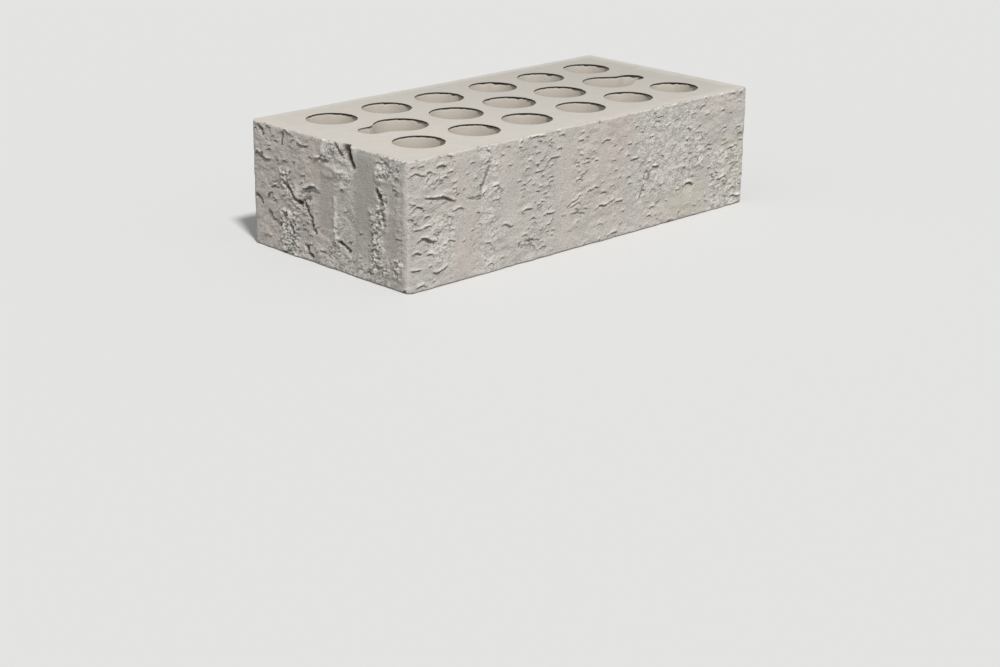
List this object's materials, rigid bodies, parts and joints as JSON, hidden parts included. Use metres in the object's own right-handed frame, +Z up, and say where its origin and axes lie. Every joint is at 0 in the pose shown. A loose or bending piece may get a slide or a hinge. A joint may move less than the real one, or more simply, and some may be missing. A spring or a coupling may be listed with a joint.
{
  "type": "cored facing brick",
  "caption": "Rectangular fired-clay facing brick with rustic bark-textured faces and rows of cores through the beds, the middle row ending in keyhole cores.",
  "frame": {"origin": "centre of the lower bed face, on the surface that the brick lies on", "axes": "+X along the brick's length, -Y out of the weathered stretcher face that is seen in a wall, +Z up along the cores"},
  "size_m": [0.25, 0.12, 0.065],
  "materials": {
    "fired_clay": "matt, unglazed, pale warm grey fired clay with a bark-textured face"
  },
  "bodies": {
    "root": {"brick": "fired_clay"}
  },
  "joints": []
}
